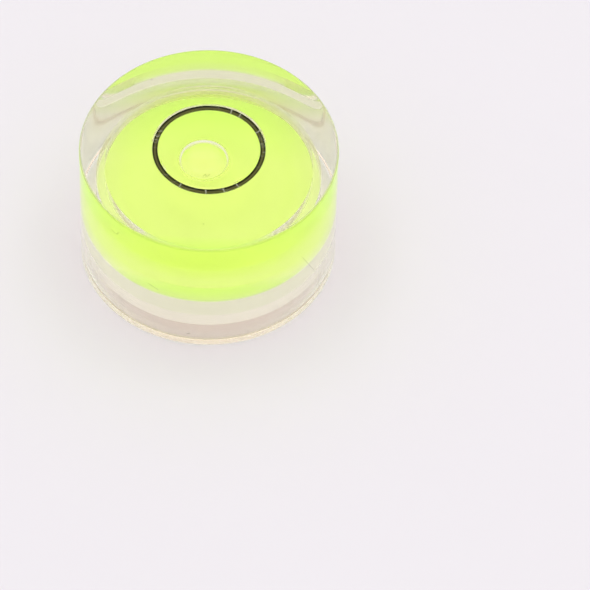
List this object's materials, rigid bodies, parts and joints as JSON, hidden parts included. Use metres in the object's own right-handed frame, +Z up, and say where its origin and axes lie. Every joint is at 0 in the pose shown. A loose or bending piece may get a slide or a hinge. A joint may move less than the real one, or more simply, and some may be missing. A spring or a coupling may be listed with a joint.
{
  "type": "bubble level vial",
  "caption": "Round bullseye level: a clear cup with a painted target ring over a tinted liquid and one gas bubble, closed from below by a white plug.",
  "frame": {"origin": "centre of the foot, on the surface that the vial stands on", "axes": "+Z up along the vial's axis through the dome's crown; +Y away from the viewer of the picture"},
  "size_m": [0.014, 0.014, 0.0083],
  "materials": {
    "clear_acrylic": "polished clear acrylic with fine handling marks",
    "white_plug": "satin off-white moulding",
    "tinted_liquid": "clear fluorescent yellow-green liquid",
    "ring_paint": "glossy black paint"
  },
  "bodies": {
    "root": {"body": "clear_acrylic", "base_plug": "white_plug", "spirit": "tinted_liquid", "target_ring": "ring_paint"}
  },
  "joints": []
}
